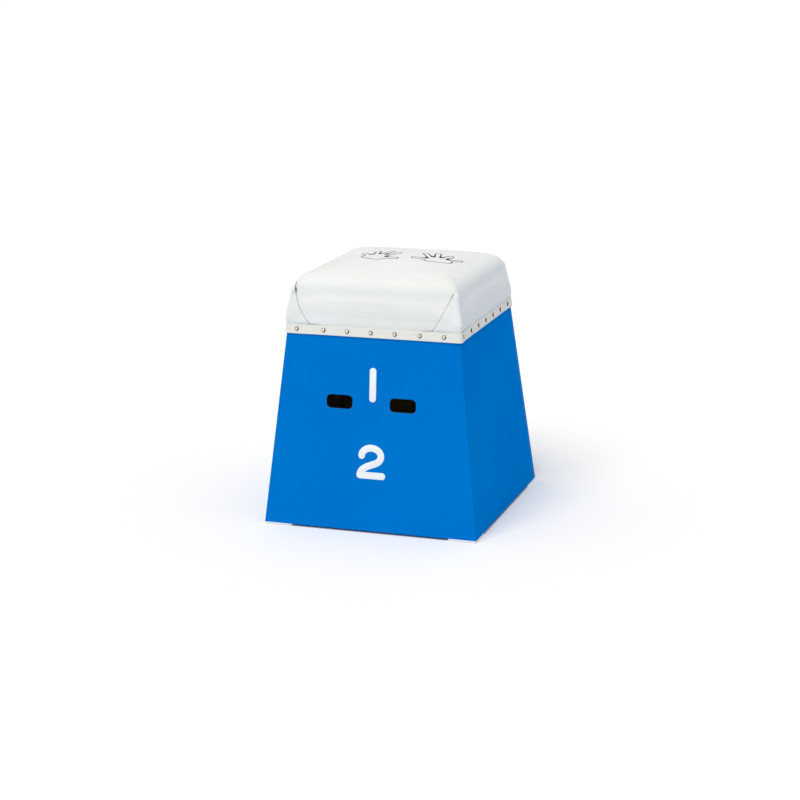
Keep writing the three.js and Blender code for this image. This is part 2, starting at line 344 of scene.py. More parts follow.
paint = {
    "main": colour(0, 114, 199),
    "faded": colour(0, 118, 202),
    "scuffed": colour(84, 150, 208),
    "metallic": 0.14,
    "shine": colour(0, 120, 225),
    "sheen": 0.4,
    "sheenRough": 0.4,
    "bloom": colour(0, 188, 255),
    "fading": (4, 0.35, 0.65),  # a noise's scale, and the part of its range that is used
    "chips": (160, 0.6, 0.68, 0, 0.4),  # the same, and the levels that this part is brought to
    "rough": (9, 0.3, 0.7, 0.42, 0.52),
    "stipple": 1.6 * mm,
    "stippleHeight": 0.05 * mm,
    "grain": 2.4,
    "grainStretch": (12, 12, 260),
    "grainHeight": 0.04 * mm,
    "scuffHeight": 14 * mm,  # the boards get knocked most near the floor
}


# Satin paint rolled on plywood: a fine stipple, with the wood's grain telegraphing through
def paintFinish():
    finish = Finish("blue_paint", Specular_IOR_Level=0, Metallic=paint["metallic"],
                    Specular_Tint=paint["shine"], Sheen_Weight=paint["sheen"],
                    Sheen_Roughness=paint["sheenRough"], Sheen_Tint=paint["bloom"])
    place = finish.place()
    tint = finish.blend(finish.mottle(place, paint["fading"]), paint["main"], paint["faded"])
    low = finish.ramp(finish.split(place)["Z"], panelLow.z + paint["scuffHeight"], panelLow.z)
    chips = finish.mottle(place, paint["chips"], detail=4, roughness=0.7)
    tint = finish.blend(finish.maths("MULTIPLY", chips, low), tint, paint["scuffed"])
    grain = finish.noise(finish.place(scale=paint["grainStretch"]), paint["grain"], detail=4, roughness=0.6)
    normal = finish.bump(grain, paint["grainHeight"])
    stipple = finish.noise(place, 1 / paint["stipple"], detail=2)
    normal = finish.bump(stipple, paint["stippleHeight"], under=normal)
    return finish.use(Base_Color=tint, Roughness=finish.mottle(place, paint["rough"]), Normal=normal)


wood = {
    "stretch": 14,  # how much finer the grain is across than along
    "warp": 1.2,
    "warpShare": 0.6,
    "rings": 9,
    "ringShare": 0.5,
    "ringHeight": 0.15 * mm,
    "grain": (0.42, 0.72),
    "rough": (0.3, 0.7, 0.64, 0.8),
    "pine": [colour(226, 194, 138), colour(190, 142, 84)],
    "pineFineness": 1.6,
}


# Bare wood, its grain along one axis
def woodFinish(name, along, pale, dark, fineness=1):
    finish = Finish(name, Specular_IOR_Level=0.35)
    place = finish.place(scale=[1 if axis == along else wood["stretch"] for axis in "XYZ"])
    warp = finish.noise(place, wood["warp"] * fineness, detail=2)
    rings = finish.noise(place, wood["rings"] * fineness, detail=6, roughness=0.62)
    warpPart = finish.maths("MULTIPLY", warp, wood["warpShare"])
    grain = finish.maths("ADD", warpPart, finish.maths("MULTIPLY", rings, wood["ringShare"]))
    tint = finish.blend(finish.ramp(grain, *wood["grain"]), pale, dark)
    normal = finish.bump(rings, wood["ringHeight"])
    return finish.use(Base_Color=tint, Roughness=finish.ramp(rings, *wood["rough"]), Normal=normal)


canvas = {
    "colour": colour(236, 236, 233),
    "shade": colour(229, 230, 226),
    "handled": colour(224, 221, 211),
    # The colour of the painted shade in the folds' creases, with some dirt
    "creaseShade": colour(44, 40, 34),
    "shading": (7, 0.35, 0.7),
    "thread": 0.8 * mm,
    "threadHeight": 0.12 * mm,
    "slubs": 70,
    "slubStretch": (1, 9, 1),
    "slubShade": (0.45, 0.75, 0, 0.25),
    "slubHeight": 0.12 * mm,
    "rough": (0.3, 0.7, 0.76, 0.9),
    "dust": (38, 0.42, 0.7, 0, 0.5),
    "dustHeight": 22 * mm,  # over the tape
}


# Plain weave: threads over and under by turns, on the cloth's own map, which is in metres
def canvasFinish():
    finish = Finish("canvas", Specular_IOR_Level=0.25, Sheen_Weight=0.12)
    cloth = finish.split(finish.place("UV"))
    body = finish.place()
    threads = [finish.maths("MULTIPLY", cloth[axis], math.pi / canvas["thread"]) for axis in "XY"]
    weave = finish.maths("MULTIPLY", *[finish.maths("SINE", thread) for thread in threads])
    slubs = finish.noise(finish.place("UV", scale=canvas["slubStretch"]), canvas["slubs"], roughness=0.6)
    tint = finish.blend(finish.mottle(body, canvas["shading"]), canvas["colour"], canvas["shade"])
    hem = finish.ramp(finish.split(body)["Z"], tapeHigh.z + canvas["dustHeight"], tapeHigh.z)
    dust = finish.maths("MULTIPLY", hem, finish.mottle(body, canvas["dust"], detail=4))
    tint = finish.blend(dust, tint, canvas["handled"])
    tint = finish.blend(finish.ramp(slubs, *canvas["slubShade"]), tint, canvas["shade"])
    # Painted shade in the folds and along the tape beside them, with some dirt, read from a value kept on
    # the cloth's points
    creaseShade = addNode(finish.tree, "ShaderNodeAttribute", attribute_name="creaseShade").outputs["Fac"]
    tint = finish.blend(creaseShade, tint, canvas["creaseShade"])
    normal = finish.bump(slubs, canvas["slubHeight"], strength=0.35)
    normal = finish.bump(weave, canvas["threadHeight"], strength=0.4, under=normal)
    return finish.use(Base_Color=tint, Roughness=finish.ramp(slubs, *canvas["rough"]), Normal=normal)


tape = {
    "colour": colour(247, 244, 236),
    "shade": colour(228, 225, 217),
    "wear": (22, 0.5, 0.8, 0, 0.4),
    "rib": 1.4 * mm,
    "ribHeight": 0.22 * mm,
    "fuzz": 420,
    "fuzzHeight": 0.08 * mm,
    "thickness": 1.4 * mm,
    "edgeEasing": 0.45 * mm,
    "edgeAngle": 1.2,  # edges that turn by more are eased
    "joint": 1 * mm,  # where its ends meet, in the middle of the rear
    "stations": 420,
    "rows": 8,
    "cornerRadius": 4 * mm,
    "wander": 0.35 * mm,  # up and down
    "wanderScale": 24,
    "wanderRow": 7,  # where the noise is read
    "wave": 0.175 * mm,  # out and in
    "waveScale": 30,
    "dimple": 0.35 * mm,  # drawn in by each tack
    "dimpleWidth": 8 * mm,
    "cornerLift": [0.8 * mm, 2.4 * mm, 0.8 * mm, 0.8 * mm],  # over the folded canvas, at each corner
    "cornerFade": 15 * mm,
}
tapeWidth = (tapeHigh.z - tapeLow.z) / leanCos


# Herringbone webbing: slanting ribs that change side at each quarter of its width
def webbingFinish():
    finish = Finish("webbing", Roughness=0.86, Specular_IOR_Level=0.2, Sheen_Weight=0.15)
    cloth = finish.split(finish.place("UV"))
    body = finish.place()
    way = finish.maths("ADD", cloth["X"], finish.maths("PINGPONG", cloth["Y"], tapeWidth / 4))
    ribs = finish.maths("SINE", finish.maths("MULTIPLY", way, 2 * math.pi / tape["rib"]))
    tint = finish.blend(finish.ramp(ribs, -1, 1), tape["shade"], tape["colour"])
    tint = finish.blend(finish.mottle(body, tape["wear"]), tint, tape["shade"])
    fuzz = finish.noise(body, tape["fuzz"], roughness=0.65)
    normal = finish.bump(fuzz, tape["fuzzHeight"], strength=0.4)
    return finish.use(Base_Color=tint, Normal=finish.bump(ribs, tape["ribHeight"], under=normal))


pore = {
    "colour": colour(196, 186, 150),
    "rim": colour(226, 218, 188),
    "scale": 700,
    "depth": 0.3 * mm,
    "range": (0, 0.7),
}


def foamFinish():
    finish = Finish("foam", Roughness=0.95, Specular_IOR_Level=0.1)
    cells = finish.cells(finish.place(), pore["scale"])
    tint = finish.blend(finish.ramp(cells, *pore["range"]), pore["colour"], pore["rim"])
    return finish.use(Base_Color=tint, Normal=finish.bump(cells, pore["depth"], strength=0.6))


metal = {
    "patinaShare": 0.5,
    "rimShare": 0.9,
    "ageAndShade": (0.2, 0.9),
    "rough": (0.3, 0.7),
    "roughSpread": 0.16,
    "pitDepth": 0.03 * mm,
}


# Aged metal, with painted light. A turned piece's own map runs up from its tip, and rim gives where on it
# the metal is
# bright, and where it is dark: on the tacks a painted highlight on the dome's top and painted shade round
# the rest of it.
def metalFinish(name, bright, dark, rim, grain, rough):
    finish = Finish(name, Metallic=1)
    patina = finish.noise(finish.place(), grain, roughness=0.6)
    # Painted shade: the metal is darker beyond the rim's heights, which on the tacks leaves a painted
    # highlight on the dome's top
    darkness = finish.ramp(finish.split(finish.place("UV"))["Y"], *rim, 0, metal["rimShare"])
    ageAndShade = finish.maths("ADD", finish.maths("MULTIPLY", patina, metal["patinaShare"]), darkness)
    tint = finish.blend(finish.ramp(ageAndShade, *metal["ageAndShade"]), bright, dark)
    rough = finish.ramp(patina, *metal["rough"], rough, rough + metal["roughSpread"])
    return finish.use(Base_Color=tint, Roughness=rough, Normal=finish.bump(patina, metal["pitDepth"]))


plain = {
    "marks": (60, 0.5, 0.75, 0, 0.5),
    "grainDepth": 0.05 * mm,
}


# A plain coloured surface with marks and a fine grain
def plainFinish(name, tone, worn, roughness, grain, grainDepth=plain["grainDepth"]):
    finish = Finish(name, Roughness=roughness, Specular_IOR_Level=0.35)
    place = finish.place()
    tint = finish.blend(finish.mottle(place, plain["marks"], detail=4), tone, worn)
    normal = finish.bump(finish.noise(place, grain, roughness=0.6), grainDepth)
    return finish.use(Base_Color=tint, Normal=normal)


bluePaint = paintFinish()
bareInside = woodFinish("birch_plywood", "X", colour(222, 196, 152), colour(186, 152, 104))
deckPly = woodFinish("deck_plywood", "Y", colour(220, 192, 146), colour(180, 146, 98))
pineUp, pineAcross, pineDeep = [
    woodFinish(f"pine_{way}", along, *wood["pine"], wood["pineFineness"])
    for way, along in (("upright", "Z"), ("along_x", "X"), ("along_y", "Y"))
]
canvasCloth = canvasFinish()
tapeCloth = webbingFinish()
foamSurface = foamFinish()
# The tacks' brass: its rim paints a highlight on each dome's top and shade round the rest of it
brass = metalFinish("aged_brass", colour(250, 236, 204), colour(40, 30, 22),
                    rim=(0.98, 0.92), grain=900, rough=0.2)
zinc = metalFinish("zinc_plated_steel", colour(192, 195, 198), colour(136, 139, 144),
                   rim=(0.1, 1), grain=1300, rough=0.32)
rubber = plainFinish("white_rubber", colour(232, 234, 238), colour(200, 202, 206),
                     roughness=0.6, grain=1500)
whitePaint = plainFinish("white_enamel", colour(240, 242, 244), colour(226, 229, 232),
                         roughness=0.4, grain=600, grainDepth=0.03 * mm)
# Black for the finger holes' walls: painted shade, for the darkness inside the holes
holeShade = plainFinish("hole_wall_shade", colour(14, 12, 12), colour(30, 26, 24),
                        roughness=0.6, grain=700)
blackInk = plainFinish("black_ink", colour(16, 16, 18), colour(46, 46, 48),
                       roughness=0.7, grain=900, grainDepth=0.02 * mm)
print("finishes made")

# Boards: each is sawn from a blank along flat planes, and then eased along its edges
board = {
    "thickness": 12 * mm,
    "glueGap": 0.3 * mm,
    "cornerEasing": 1.3 * mm,  # radius of the edges that hands meet
    "jointEasing": 0.35 * mm,
    "lowerEasing": 0.8 * mm,
    "onCut": 0.001 * mm,  # a point no further from a saw cut is on it
    "upright": 25 * mm,  # edges that rise by more are upright
    "flush": 0.05 * mm,  # a place no further from the outer face is on it
    "inward": 0.9,  # a face that points in by more than this share is the inner one
}
post = {"side": 40 * mm, "easing": 1.5 * mm}
rail = {"depth": 22 * mm, "height": 40 * mm, "easing": 1.5 * mm}
fingerHole = {
    "width": 60 * mm,
    "height": 30 * mm,
    "corner": 10 * mm,
    "easing": 1.6 * mm,
    "spacing": 148 * mm,
    "drop": 181.5 * mm,  # from the deck's top
    "segments": 10,
    "cutter": 72 * mm,  # length of the block that cuts it
    "wall": 0.8,  # a face that points out or in by less than this share is a hole's wall
}
outward = Vector((0, -leanCos, leanSin))
levelThickness = board["thickness"] / leanCos
levelGap = board["glueGap"] / leanCos
postOut = levelThickness + levelGap


# Saws off what lies beyond a plane, and closes the cut
def saw(point, normal):
    bpy.ops.mesh.select_all(action="SELECT")
    bpy.ops.mesh.bisect(plane_co=point, plane_no=normal, use_fill=True, clear_outer=True,
                        threshold=board["onCut"])


# A block between two heights, sawn from a bigger cube. Its sides are planes along the box's faces, each
# given by the face's number and a level distance in from it. The block lies within the outer ones and
# beyond the inner ones.
def makeBlock(low, high, outer, inner):
    block = addBlock([3 * panelHigh.x] * 3, (0, 0, (low + high) / 2))
    startEdit(block)
    saw((0, 0, low), (0, 0, -1))
    saw((0, 0, high), (0, 0, 1))
    for sides, way in ((outer, 1), (inner, -1)):
        for turn, inset in sides.items():
            saw(turned((0, inset - panelHigh.x, panelLow.z), turn), turned(outward, turn) * way)
    faceOutwards()
    endEdit()
    return block


def depthInBoard(place):
    return (onFront(0, panelLow.z) - place).dot(outward)


def isUpright(middle, edge):
    return reachAlong(edge, 2) > board["upright"]


# A slot with round corners through the board
def cutFingerHole(blank, x):
    size = (fingerHole["width"], fingerHole["cutter"], fingerHole["height"])
    cutter = addBlock(size, onFront(x, deckTop - fingerHole["drop"]), (-leanAngle, 0, 0))
    startEdit(cutter)
    ease(fingerHole["corner"], lambda middle, edge: reachAlong(edge, 1) > fingerHole["cutter"] / 2,
         segments=fingerHole["segments"])
    endEdit()
    combine(blank, cutter, "DIFFERENCE")


def isAtHole(place):
    near = abs(place.z - deckTop + fingerHole["drop"]) < fingerHole["height"]
    return near and abs(place.x) < fingerHole["spacing"] / 2 + fingerHole["width"]


# Rims of the finger holes on the outer face
def isHoleRim(middle, edge):
    return isAtHole(middle) and abs(depthInBoard(middle)) < board["flush"] and isSharp(edge)


def isHoleWall(face):
    return isAtHole(face.center) and abs(face.normal.dot(outward)) < fingerHole["wall"]


def makePanel(inset, outerEasing, holes):
    panel = makeBlock(panelLow.z, deckLow.z, {0: 0, 1: inset, 3: inset}, {0: levelThickness})
    near = board["thickness"] / 4
    startEdit(panel)
    ease(outerEasing, lambda middle, edge: isUpright(middle, edge) and depthInBoard(middle) < near)
    ease(board["lowerEasing"], lambda middle, edge: middle.z < panelLow.z + near
         and depthInBoard(middle) < near and abs(middle.x) < near)
    endEdit()
    for x in holes:
        cutFingerHole(panel, x)
    if holes:
        startEdit(panel)
        ease(fingerHole["easing"], isHoleRim, segments=4)
        endEdit()
    for material in (bluePaint, bareInside, holeShade):
        panel.data.materials.append(material)
    for face in panel.data.polygons:  # the inner face stays bare, and the holes' walls are black: painted shade in the holes
        face.material_index = int(face.normal.dot(outward) < -board["inward"])
        if holes and isHoleWall(face):
            face.material_index = 2
    settle(panel)
    finishWith(panel, "WEIGHTED_NORMAL", keep_sharp=True)
    return panel


def makePanels():
    reach = fingerHole["spacing"] / 2
    end = makePanel(0, board["cornerEasing"], (-reach, reach))
    flank = makePanel(postOut, board["jointEasing"], ())
    for turn, faceName in enumerate(faceNames):
        panel = copyPlaced(flank if turn % 2 else end, f"{faceName}_board", quarterTurn(turn))
        fit(panel, [], f"{faceName}_panel")
    for blank in (end, flank):
        bpy.data.objects.remove(blank)


def makeFraming():
    postIn = postOut + post["side"]
    upright = makeBlock(panelLow.z, deckLow.z, {0: postOut, 3: postOut}, {0: postIn, 3: postIn})
    startEdit(upright)
    ease(post["easing"], isUpright, segments=2)
    endEdit()
    settle(upright)
    sides = {0: postOut, 1: postIn + levelGap, 3: postIn + levelGap}
    bar = makeBlock(deckLow.z - rail["height"], deckLow.z, sides, {0: postOut + rail["depth"]})
    startEdit(bar)
    ease(rail["easing"], lambda middle, edge: abs(middle.x) < mm, segments=2)
    endEdit()
    settle(bar)
    for turn, faceName in enumerate(faceNames):
        corner = cornerNames[turn]
        pine = pineDeep if turn % 2 else pineAcross
        stand = copyPlaced(upright, f"{corner}_corner_block", quarterTurn(turn))
        fit(stand, [pineUp], f"{corner}_post")
        brace = copyPlaced(bar, f"{faceName}_deck_rail", quarterTurn(turn))
        fit(brace, [pine], f"{faceName}_top_rail")
        screw = bpy.data.objects[f"{corner}_deck_screw"]
        screw.data.materials.clear()
        screw.data.materials.append(zinc)
    for blank in (upright, bar):
        bpy.data.objects.remove(blank)
    deck = makeBlock(deckLow.z, deckTop, {0: 0, 1: 0, 2: 0, 3: 0}, {})
    startEdit(deck)
    ease(board["jointEasing"], lambda middle, edge: True, segments=2)
    endEdit()
    fit(named(settle(deck), "deck_ply"), [deckPly], "deck_board")


makePanels()
makeFraming()
print("boards sawn")

# Numbers: films of white paint, drawn as strokes with round ends
number = {
    "film": 0.25 * mm,
    "top": 0.225 * mm,  # edges above this level are the film's upper ones
    "easing": 0.12 * mm,
    "lift": 0.02 * mm,
    "oneWidth": 15.4 * mm,
    "oneHeight": 76.8 * mm,
    "oneLevel": 332.1 * mm,
    "oneShift": 3.7 * mm,
    "stroke": 15.4 * mm,
    "twoLevel": 160 * mm,
    "twoShift": 2.1 * mm,
    "bowCentre": Vector((1, 14)) * mm,
    "bowAcross": 22.6 * mm,
    "bowUp": 18 * mm,
    "bowEnd": math.radians(-50),
    "neckGuides": [Vector((4, -7.6)) * mm, Vector((-23.5, -9.5)) * mm],
    "heel": Vector((-25.4, -30)) * mm,
    "toe": Vector((26.8, -30)) * mm,
    "steps": 40,
    "capSteps": 12,
}


# Outline of a stroke along a path, with a round cap at each end
def strokeOutline(path, width):
    last = len(path) - 1
    ways = [(path[min(k + 1, last)] - path[max(k - 1, 0)]).normalized() for k in range(last + 1)]
    sides = [Vector((-way.y, way.x)) * width / 2 for way in ways]
    left = [point + side for point, side in zip(path, sides)]
    right = [point - side for point, side in zip(path, sides)]

    def cap(middle, start):
        turns = [math.pi * k / number["capSteps"] for k in range(1, number["capSteps"])]
        return [middle + Matrix.Rotation(-turn, 2) @ (start - middle) for turn in turns]

    return left + cap(path[-1], left[-1]) + right[::-1] + cap(path[0], right[0])


# A closed thread of points along an outline in X and Y
def makeLoop(outline):
    bpy.ops.mesh.primitive_circle_add(vertices=len(outline), fill_type="NOTHING")
    loop = bpy.context.object
    for corner, place in zip(loop.data.vertices, outline):
        corner.co = (place.x, place.y, 0)
    return loop


def makeFilm(outline):
    film = makeLoop(outline)
    startEdit(film)
    bpy.ops.mesh.select_mode(type="EDGE")
    bpy.ops.mesh.select_all(action="SELECT")
    bpy.ops.mesh.edge_face_add()
    bpy.ops.mesh.extrude_region_move(TRANSFORM_OT_translate={"value": (0, 0, number["film"])})
    faceOutwards()
    endEdit()
    return film


def makeNumbers():
    reach = (number["oneHeight"] - number["oneWidth"]) / 2
    one = makeFilm(strokeOutline([Vector((0, -reach)), Vector((0, reach))], number["oneWidth"]))
    steps = number["steps"]
    path = []
    for k in range(steps + 1):
        angle = mix(math.pi, number["bowEnd"], k / steps)
        bow = Vector((number["bowAcross"] * math.cos(angle), number["bowUp"] * math.sin(angle)))
        path.append(number["bowCentre"] + bow)
    guides = [path[-1], *number["neckGuides"], number["heel"]]
    for k in range(1, steps + 1):
        t = k / steps
        weights = ((1 - t) ** 3, 3 * t * (1 - t) ** 2, 3 * t * t * (1 - t), t ** 3)
        path.append(sum((guide * weight for guide, weight in zip(guides, weights)), Vector((0, 0))))
    two = makeFilm(strokeOutline(path, number["stroke"]))
    combine(two, makeFilm(strokeOutline([number["heel"], number["toe"]], number["stroke"])), "UNION")
    for word, film in (("one", one), ("two", two)):
        startEdit(film)
        ease(number["easing"], lambda middle, edge: middle.z > number["top"] and isSharp(edge), segments=2)
        endEdit()
        settle(film, angle=50)
        for turn in (0, 2):
            place = faceMatrix(number[word + "Shift"], number[word + "Level"], number["lift"], turn)
            fit(copyPlaced(film, f"{faceNames[turn]}_number_{word}", place), [whitePaint])
        bpy.data.objects.remove(film)


makeNumbers()
print("numbers painted")

# Pad: the form of the foam, which the canvas is pulled over
pad = {
    "edgeHeight": 93 * mm,  # from the deck's top to where the rounded edge would meet the crown
    "edgeRadius": 32 * mm,
    "cornerRadius": 12 * mm,  # of the upright corners, where the rounded edge begins
    "cornerFoot": 3 * mm,  # the same just over the deck
    "cornerBase": 1.5 * mm,
    "cornerEasing": 6 * mm,
    "leastRadius": 0.3 * mm,
    "bulge": 1.6 * mm,
    "bulgeSkew": 0.6,  # under 1, it is fullest below the middle
    "face": 1.5 * mm,  # the cloth's face, outwards from the boards
}
cover = {
    "thickness": 1.1 * mm,
    "clearance": 0.35 * mm,  # between the boards and the cloth
    "hemRows": 4,
    "sideRows": 32,
    "edgeRows": 17,
    "cornerColumns": 5,
    "foldedColumns": 15,  # from the corner to the fold
    "middleColumns": 32,  # from the fold to the middle of the face
    "crowding": 1.4,  # of these columns towards the fold
    "squeezed": 0.9 * mm,  # between the fold's columns, where they pass over the rounded edge
    "spread": 70 * mm,  # way over the pad in which they even out again
    "pull": 0.9 * mm,  # of each tack
    "pullWidth": 10 * mm,
    "pullHeight": 20 * mm,
    "pullStart": 6 * mm,
    "slack": 0.5,  # share of a pull by which the cloth stands out between tacks
    "unevenness": 0.45 * mm,
    "lumps": 22,  # scale of that unevenness
    "fineLumps": 2.3,  # how much finer its lesser part is
    "searchSteps": 26,  # halvings that find how near a place on the crown is to its rim
    "searchReach": 1.2,  # 1 is on the rim
    "flat": (0.62, 0.62),  # metres
    "area": 0.34,  # square metres, since the waste at its corners is cut away
}
fold = {
    "foot": [53.5 * mm, 61 * mm],  # from the left and the right corner to the fold, at the tape
    "head": [6 * mm, 2 * mm],  # the same at the fold's upper end
    "top": [79 * mm, 74 * mm],  # height of that end over the deck
    "curve": [1.7, 1.08],
    "hook": [0, 4 * mm],  # the right fold's end turns to the corner
    "hookStart": 0.94,  # share of the fold's height
    "turned": 0.7,  # share of a corner's radius that a fold may run onto it
    "least": 2.4 * mm,  # least way from the corner's middle
    "pitch": 1.22 * mm,  # from one layer of canvas to the next
    "bendSteps": 4,  # across each of the pleat's two bends
    "tuck": 9 * mm,  # depth of the pleat behind the fold
    "tuckShare": 0.55,  # the most of the way to the corner that it takes
    "flapShare": 0.9,  # share of that depth at which the flap starts to lie on it
    "flapRise": 1.6,  # how soon the flap rises to it from the corner
    "toe": 3 * mm,  # its lowest layer shows this far past the fold
    # Painted shade in and by the pleat, with a little dirt: how dark the canvas is made at each place
    "bendShade": 0.2,  # painted shade, with some dirt, where the outer layer turns in
    "innerDirt": 0.9,
    "foldShade": [0.08, 0.19],  # painted shade, with some dirt, along the fold
    "endShade": 0.45,  # at its foot, and at the right fold's upper end
    "footReach": 9 * mm,
    "headReach": 11 * mm,
    "mouthShade": [0.86, 0],  # painted shade where the pleat stands open
    "mouthHeight": 5.5 * mm,
    "fade": [4 * mm, 10 * mm],  # height in which its painted shade ends at the top
    "hemShade": 0.55,  # painted shadow along the tape's edge, beside the fold
    "hemReach": 34 * mm,
    "hemHeight": 2.4 * mm,
    "cornerLift": [3 * mm, 5 * mm, 3 * mm, 2.6 * mm],  # of the layers of canvas at each corner
    "cornerFade": 24 * mm,
    "opening": 12 * mm,  # height in which the pleat opens at its upper end
    "closing": 5 * mm,  # height over the tape in which its layers spread
    "cornerClosing": 18 * mm,  # the same for the layers at the corner
    "closed": 0.4 * mm,  # between its columns where it is closed
    "gape": [4.6 * mm, 1 * mm, 0.5 * mm, 1 * mm],  # how far each corner's mouth stands out
    "gapeDrop": [18 * mm, 12 * mm],
    "gapeHeight": 6 * mm,
    "dent": 1.3 * mm,  # the cloth sinks beside the mouth
    "dentWidth": 9 * mm,
}
edgeLevel = deckTop + pad["edgeHeight"]
crownRise = coverHigh.z - edgeLevel
crownSlope = math.atan(2 * crownRise / (faceAt(edgeLevel) - pad["edgeRadius"]))
edgeCentre = edgeLevel - pad["edgeRadius"] * math.cos(crownSlope)
edgeStart = edgeCentre + pad["edgeRadius"] * leanSin
edgeRun = faceAt(edgeStart) + pad["face"] / leanCos - pad["edgeRadius"] * leanCos
edgeTurn = quarter - crownSlope - leanAngle
pleatColumns = 2 * fold["bendSteps"] + 3  # between the points that pleatPoints gives
halfColumns = cover["foldedColumns"] + pleatColumns + cover["middleColumns"]
tackLevel = (tapeLow.z + tapeHigh.z) / 2


def tackPlaces(turn):
    boxes = [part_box(f"{faceNames[turn]}_tack_{k}") for k in range(1, tacksPerFace + 1)]
    return [turned((low + high) / 2, -turn).x for low, high in boxes]


tackTable = [tackPlaces(turn) for turn in range(4)]


# Radius of the pad's upright corners at a height
def cornerAt(z):
    foot = deckTop + pad["cornerEasing"]
    if z <= foot:
        return mix(pad["cornerBase"], pad["cornerFoot"], limit((z - deckTop) / pad["cornerEasing"]))
    return mix(pad["cornerFoot"], pad["cornerRadius"], limit((z - foot) / (edgeStart - foot)))


def bulgeAt(z):
    share = limit((z - tapeHigh.z) / (edgeStart - tapeHigh.z))
    return pad["bulge"] * math.sin(math.pi * share ** pad["bulgeSkew"])


# A level line round the pad's side, at a depth under the cover's face
def sideLine(z, depth):
    return {
        "half": faceAt(z) + (pad["face"] - depth + bulgeAt(z)) / leanCos,
        "radius": max(cornerAt(z) - depth, pad["leastRadius"]),
        "z": z,
        "slope": leanAngle,
    }


def edgeLine(share, depth):
    angle = leanAngle + edgeTurn * share
    reach = pad["edgeRadius"] - depth
    drawn = pad["edgeRadius"] * (leanCos - math.cos(angle)) / 2
    return {
        "half": edgeRun + reach * math.cos(angle),
        "radius": pad["cornerRadius"] - depth + drawn,
        "z": edgeCentre + reach * math.sin(angle),
        "slope": angle,
    }


# The lines from the crown's rim down to the lowest level
def levelLines(levels, edgeRows, depth):
    edge = [edgeLine(1 - k / edgeRows, depth) for k in range(edgeRows)]
    return edge + [sideLine(z, depth) for z in levels]


def evenWays(start, end, steps):
    return [mix(start, end, k / steps) for k in range(steps)]


# Ways along a line from the middle of its rounded corner, for the columns of that corner
def cornerWays(row, count):
    return [row["radius"] * (quarter / 2 - math.asin((1 - k / count) / math.sqrt(2))) for k in range(count)]


def middleWay(row):
    return row["radius"] * (quarter / 2 - 1) + row["half"]


# Half a line without a fold: ways from the corner to the middle, each with its lift
def plainHalf(row, count, corner, cornerLift):
    ways = cornerWays(row, corner)
    ways += evenWays(row["radius"] * quarter / 2, middleWay(row), count - corner) + [middleWay(row)]
    return [(way, cornerLift * (1 - smooth(way / fold["cornerFade"]))) for way in ways]


# The pleat as seen in a cut: ways back from the fold towards the corner, and layers outwards
def pleatPoints(tuck):
    bend, steps = fold["pitch"] / 2, fold["bendSteps"]
    angles = [quarter * (1 - 2 * k / steps) for k in range(steps + 1)]
    outer = [(bend - bend * math.cos(angle), (3 + math.sin(angle)) / 2) for angle in angles]
    inner = [(tuck - bend + bend * math.cos(angle), (1 + math.sin(angle)) / 2) for angle in angles]
    return [(tuck * fold["flapShare"] + bend, 2), *outer, *inner, (-fold["toe"], 0)]


# Share of the way from the fold to the middle of the face, by column
def crowded(column):
    return (column / cover["middleColumns"]) ** cover["crowding"]


# Way from the corner's middle to the fold
def foldWay(row, side, climb):
    run = mix(fold["head"][side], fold["foot"][side], (1 - climb) ** fold["curve"][side])
    run -= fold["hook"][side] * smooth((climb - fold["hookStart"]) / (1 - fold["hookStart"]))
    radius = row["radius"]
    if run > radius:
        return max(run + radius * (quarter / 2 - 1), fold["least"])
    turn = math.asin(limit(1 - run / radius, 0, fold["turned"]))
    return max(radius * (quarter / 2 - turn), fold["least"])


# Where the folded faces' columns pass over the crown's rim
def rimWays(row):
    start = row["radius"] * quarter / 2
    close = cover["foldedColumns"] + pleatColumns - cover["cornerColumns"]
    reach = start + close * cover["squeezed"]
    ways = cornerWays(row, cover["cornerColumns"]) + evenWays(start, reach, close)
    return ways + evenWays(reach, middleWay(row), cover["middleColumns"]) + [middleWay(row)]


# Half a line with a fold. Over the fold's upper end its columns drift apart towards the crown.
def foldedHalf(row, corner):
    z = row["z"]
    side = corner % 2
    top = deckTop + fold["top"][side]
    climb = limit((z - tapeHigh.z) / (top - tapeHigh.z))
    way = foldWay(row, side, climb)
    gather = smooth((z - tapeHigh.z + mm) / fold["closing"]) * smooth((top - z) / fold["opening"])
    gape = fold["gape"][corner] * bell(z - top + fold["gapeDrop"][side], fold["gapeHeight"])
    dent = fold["dent"] * bell(z - top + fold["gapeHeight"], fold["opening"])
    pleat = []
    for k, (back, layer) in enumerate(pleatPoints(min(fold["tuck"], fold["tuckShare"] * way))):
        back = mix((pleatColumns / 2 - k) * fold["closed"], back, gather)
        pleat.append((way - back, gather * (layer * fold["pitch"] + gape * limit(layer - 1))))
    start, lift = pleat[0]
    shares = [k / cover["foldedColumns"] for k in range(cover["foldedColumns"])]
    overTape = smooth((z - tapeHigh.z) / fold["cornerClosing"])
    cornerLift = mix(tape["cornerLift"][corner], fold["cornerLift"][corner], overTape)
    cornerLift *= smooth((top - z) / fold["opening"])
    flap = [(share * start, mix(cornerLift, lift, smooth(share * fold["flapRise"]))) for share in shares]
    ways = [mix(pleat[-1][0], middleWay(row), crowded(k)) for k in range(1, cover["middleColumns"] + 1)]
    line = flap + pleat + [(along, -dent * bell(along - way, fold["dentWidth"])) for along in ways]
    drift = smooth((z - top) / (edgeLine(1, 0)["z"] - top))
    if drift == 0:
        return line
    return [(mix(along, eased, drift), lift) for (along, lift), eased in zip(line, rimWays(row))]


